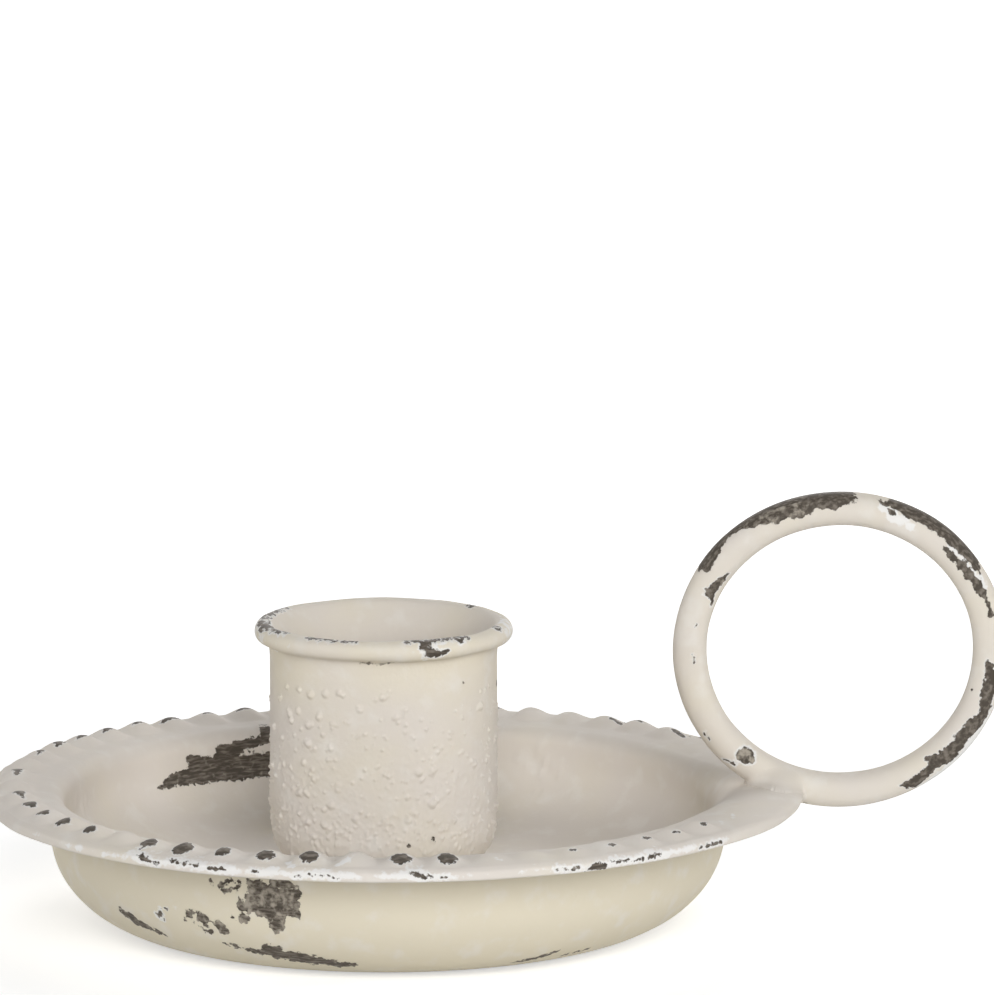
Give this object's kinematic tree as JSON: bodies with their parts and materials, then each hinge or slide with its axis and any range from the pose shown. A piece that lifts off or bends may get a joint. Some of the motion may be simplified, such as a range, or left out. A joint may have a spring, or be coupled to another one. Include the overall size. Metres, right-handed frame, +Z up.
{
  "type": "chamberstick",
  "caption": "Cast-metal chamberstick: a shallow drip pan with a beaded flange, an upright candle cup with a rolled lip, and a finger ring standing on edge at the rim.",
  "frame": {"origin": "on the pan's axis, on the plane that the foot stands on", "axes": "+Z up along the axis of the pan and the candle cup, +X from that axis out through the finger ring, +Y to its left"},
  "size_m": [0.124, 0.0978, 0.0526],
  "materials": {
    "pan_paint": "matt chalky cream paint over cast iron, chipped at the edges",
    "cup_paint": "matt chalky greige paint over pebbly sand-cast iron",
    "ring_paint": "matt chalky cream paint, worn to dark metal where it is held",
    "fastener_steel": "plain zinc-plated steel, dulled"
  },
  "bodies": {
    "root": {"dish_pan": "pan_paint", "candle_cup": "cup_paint", "finger_ring": "ring_paint", "ring_braze": "ring_paint", "cup_screw": "fastener_steel", "cup_washer": "fastener_steel"}
  },
  "joints": []
}
